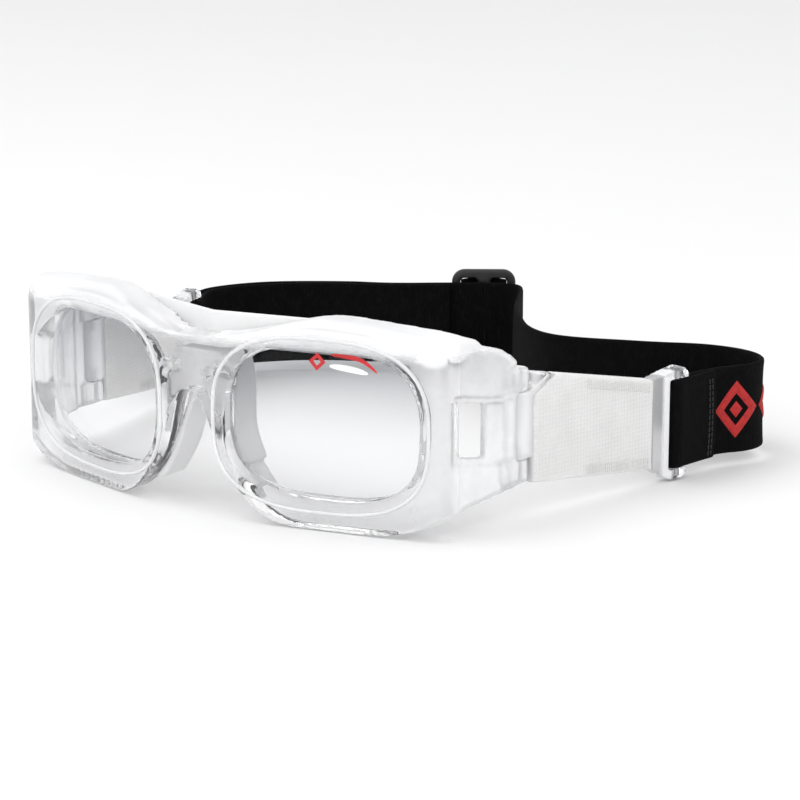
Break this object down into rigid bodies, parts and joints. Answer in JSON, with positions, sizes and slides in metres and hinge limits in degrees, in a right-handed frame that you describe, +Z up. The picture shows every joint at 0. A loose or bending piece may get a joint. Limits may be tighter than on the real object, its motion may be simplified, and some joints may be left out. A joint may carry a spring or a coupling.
{
  "type": "sports protective goggles",
  "caption": "Wrap-round clear sports goggles with soft nose and brow pads, side vents, hinged arms with strap loops and an adjustable woven elastic head strap.",
  "frame": {"origin": "on the table under the middle of the object's box; the nose line is the plane x = 0", "axes": "+X to the wearer's left, -Y out of the front of the goggles, +Z up from the table they lie on"},
  "size_m": [0.1879, 0.1863, 0.0547],
  "materials": {
    "clear_polycarbonate": "clear polished moulded polycarbonate",
    "lens_polycarbonate": "clear polished lens",
    "milky_silicone": "soft translucent milky silicone",
    "frosted_silicone": "frosted silicone with a fine moulded grid",
    "steel": "plain turned steel",
    "black_elastic": "woven black elastic webbing",
    "black_plastic": "satin black moulded plastic"
  },
  "bodies": {
    "frame": {"front_frame": "clear_polycarbonate", "left_lens": "lens_polycarbonate", "right_lens": "lens_polycarbonate", "nose_pad": "milky_silicone", "brow_pad": "milky_silicone", "left_hinge_lower_pin": "steel", "left_hinge_upper_pin": "steel", "right_hinge_lower_pin": "steel", "right_hinge_upper_pin": "steel", "strap_band": "black_elastic", "strap_return": "black_elastic"},
    "left_arm": {"left_arm_core": "clear_polycarbonate", "left_arm_sleeve": "frosted_silicone", "left_strap_bar": "steel", "left_strap_fold": "black_elastic"},
    "right_arm": {"right_arm_core": "clear_polycarbonate", "right_arm_sleeve": "frosted_silicone", "right_strap_bar": "steel", "right_strap_fold": "black_elastic"},
    "slider": {"strap_slider": "black_plastic"}
  },
  "joints": [
    {"name": "left_arm_hinge", "type": "hinge", "parent": "frame", "child": "left_arm", "pos_m": [0.0734, -0.0481, 0.0256], "axis": [0, 0, 1], "range_deg": [-3, 95], "deforming": ["strap_band"]},
    {"name": "right_arm_hinge", "type": "hinge", "parent": "frame", "child": "right_arm", "pos_m": [-0.0734, -0.0481, 0.0256], "axis": [0, 0, -1], "range_deg": [-3, 95], "deforming": ["strap_band", "strap_return"]},
    {"name": "slider_travel", "type": "slide", "parent": "frame", "child": "slider", "axis": [-0.8231, -0.5678, 0], "range_m": [0, 0.014], "deforming": ["strap_band", "strap_return"]}
  ]
}
